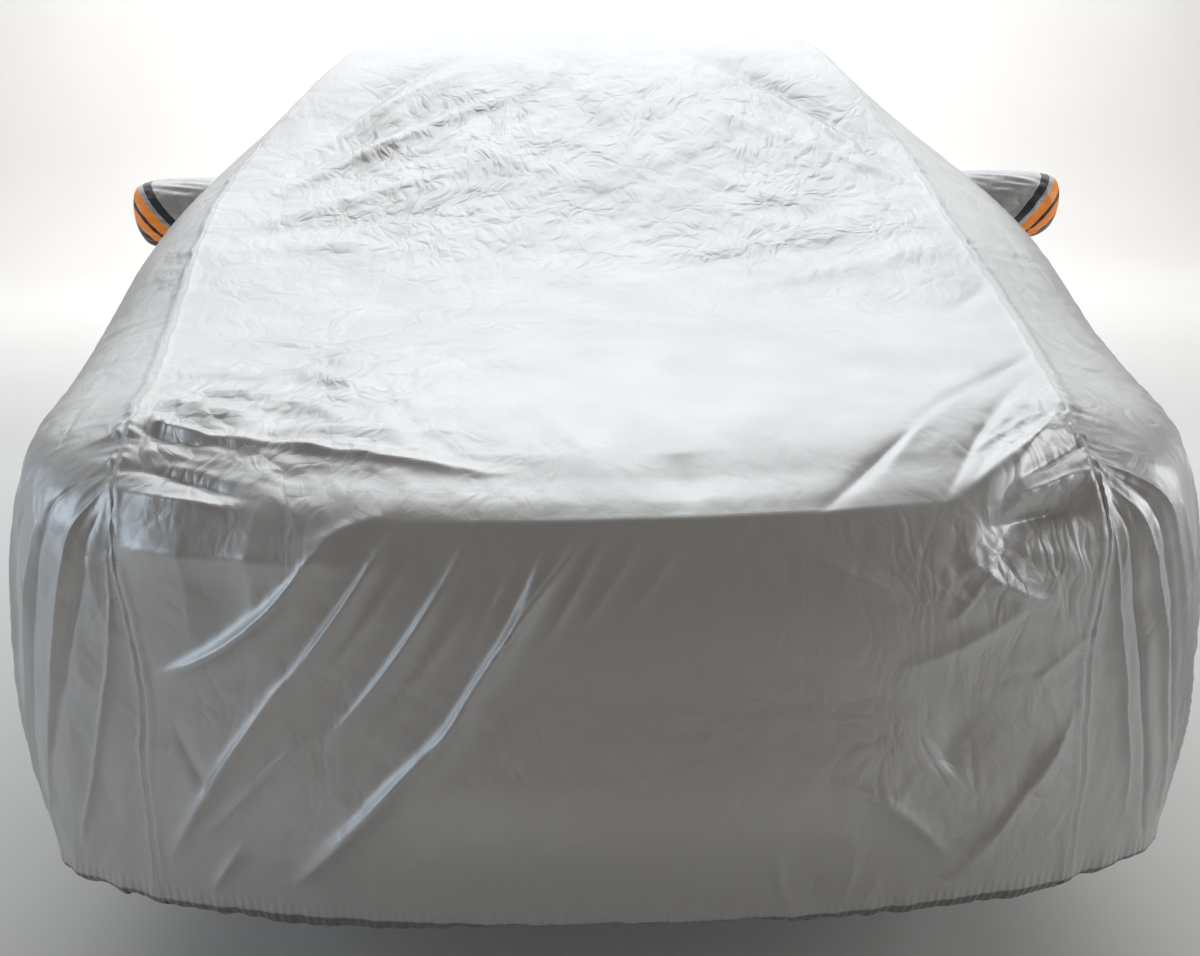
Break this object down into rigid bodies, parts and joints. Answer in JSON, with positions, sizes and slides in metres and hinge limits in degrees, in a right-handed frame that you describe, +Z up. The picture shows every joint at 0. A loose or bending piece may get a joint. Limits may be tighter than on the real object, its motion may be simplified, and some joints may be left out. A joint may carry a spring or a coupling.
{
  "type": "fitted car cover",
  "caption": "Fitted silver cloth cover that drapes over a small hatchback, with seamed side panels, an elastic hem and pockets for the door mirrors.",
  "frame": {"origin": "on the underside of the middle panel at the top of the roof, where the car's roof holds the cover up", "axes": "+Y from the front of the car towards its tail, +Z up, +X to the right seen from in front of the car"},
  "size_m": [1.936, 4.251, 1.2848],
  "materials": {
    "silver_cloth": "silver-coated polyester taffeta, semi-gloss, crumpled",
    "striped_cloth": "orange reflective cloth with dark stripes"
  },
  "bodies": {
    "root": {"middle_panel": "silver_cloth", "side_panel_left": "silver_cloth", "side_panel_right": "silver_cloth", "mirror_pocket_left": "silver_cloth", "mirror_pocket_right": "silver_cloth", "striped_end_left": "striped_cloth", "striped_end_right": "striped_cloth"}
  },
  "joints": []
}
